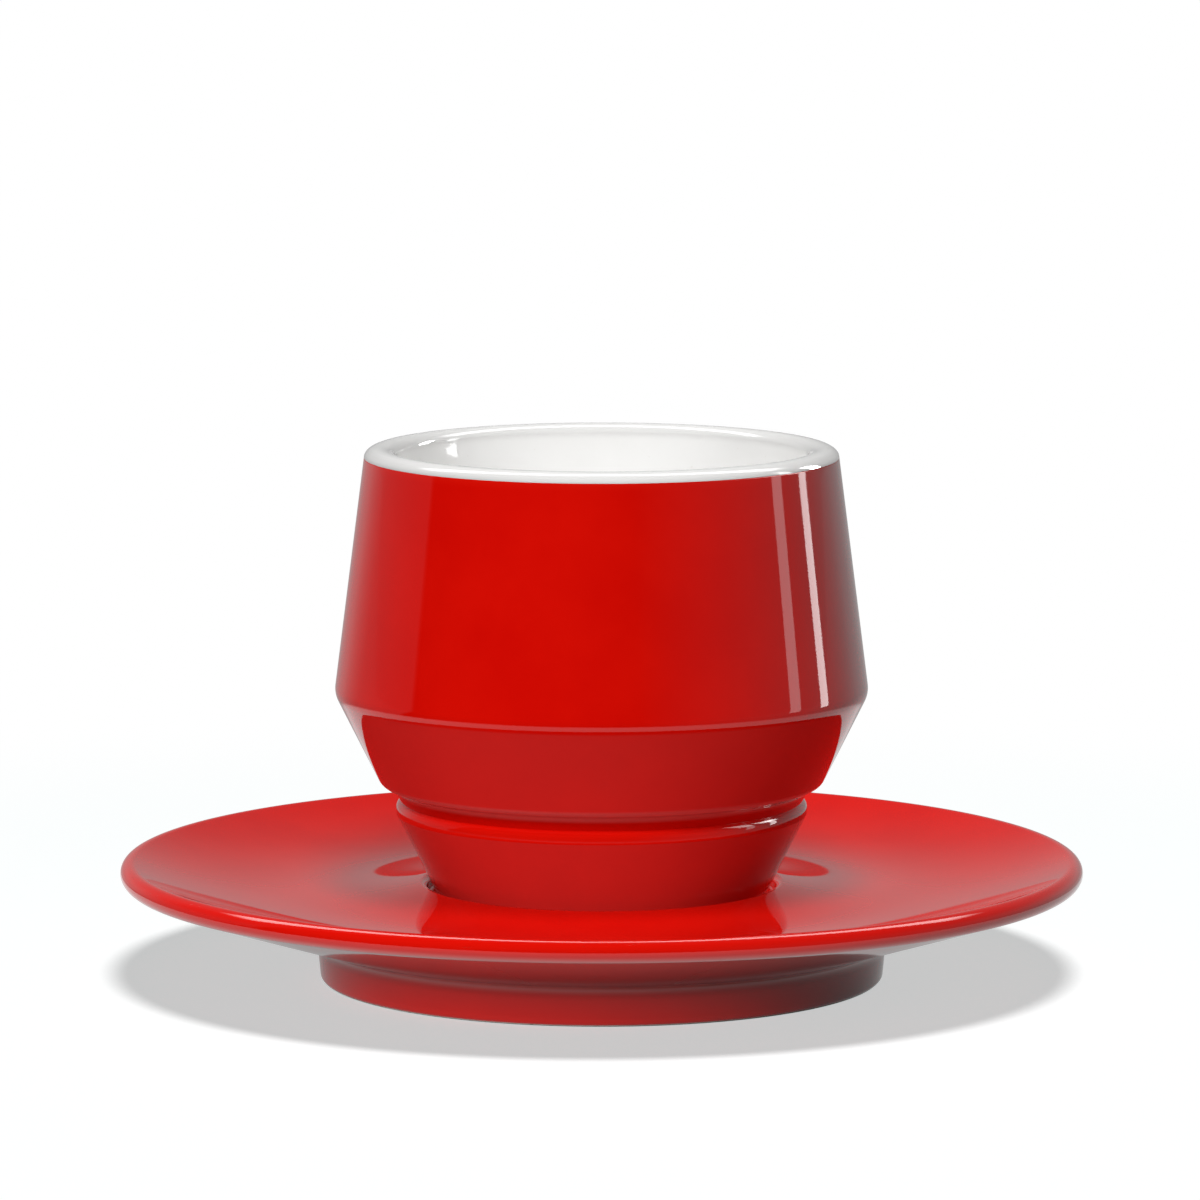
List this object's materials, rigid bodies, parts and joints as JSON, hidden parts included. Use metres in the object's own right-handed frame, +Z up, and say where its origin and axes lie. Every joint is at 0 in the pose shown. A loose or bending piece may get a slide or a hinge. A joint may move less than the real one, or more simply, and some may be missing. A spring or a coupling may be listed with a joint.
{
  "type": "cappuccino cup with saucer",
  "caption": "Handleless double-walled porcelain cup, red outside and white inside, standing in the well of a round red saucer with a foot ring; for serving a milk coffee.",
  "frame": {"origin": "on the table, under the middle of the saucer", "axes": "+Z up along the axis that the cup and the saucer share; -Y towards the camera of the picture"},
  "size_m": [0.156, 0.156, 0.0865],
  "materials": {
    "red_glaze": "glossy red glaze on porcelain",
    "white_glaze": "glossy white glaze on porcelain",
    "silicone": "matt silicone"
  },
  "bodies": {
    "saucer": {"saucer": "red_glaze"},
    "cup": {"cup_outer_shell": "red_glaze", "cup_inner_vessel": "white_glaze", "vent_plug": "silicone"}
  },
  "joints": [
    {"name": "cup_lift", "type": "slide", "parent": "saucer", "child": "cup", "axis": [0, 0, 1], "range_m": [0, 0.1]}
  ]
}
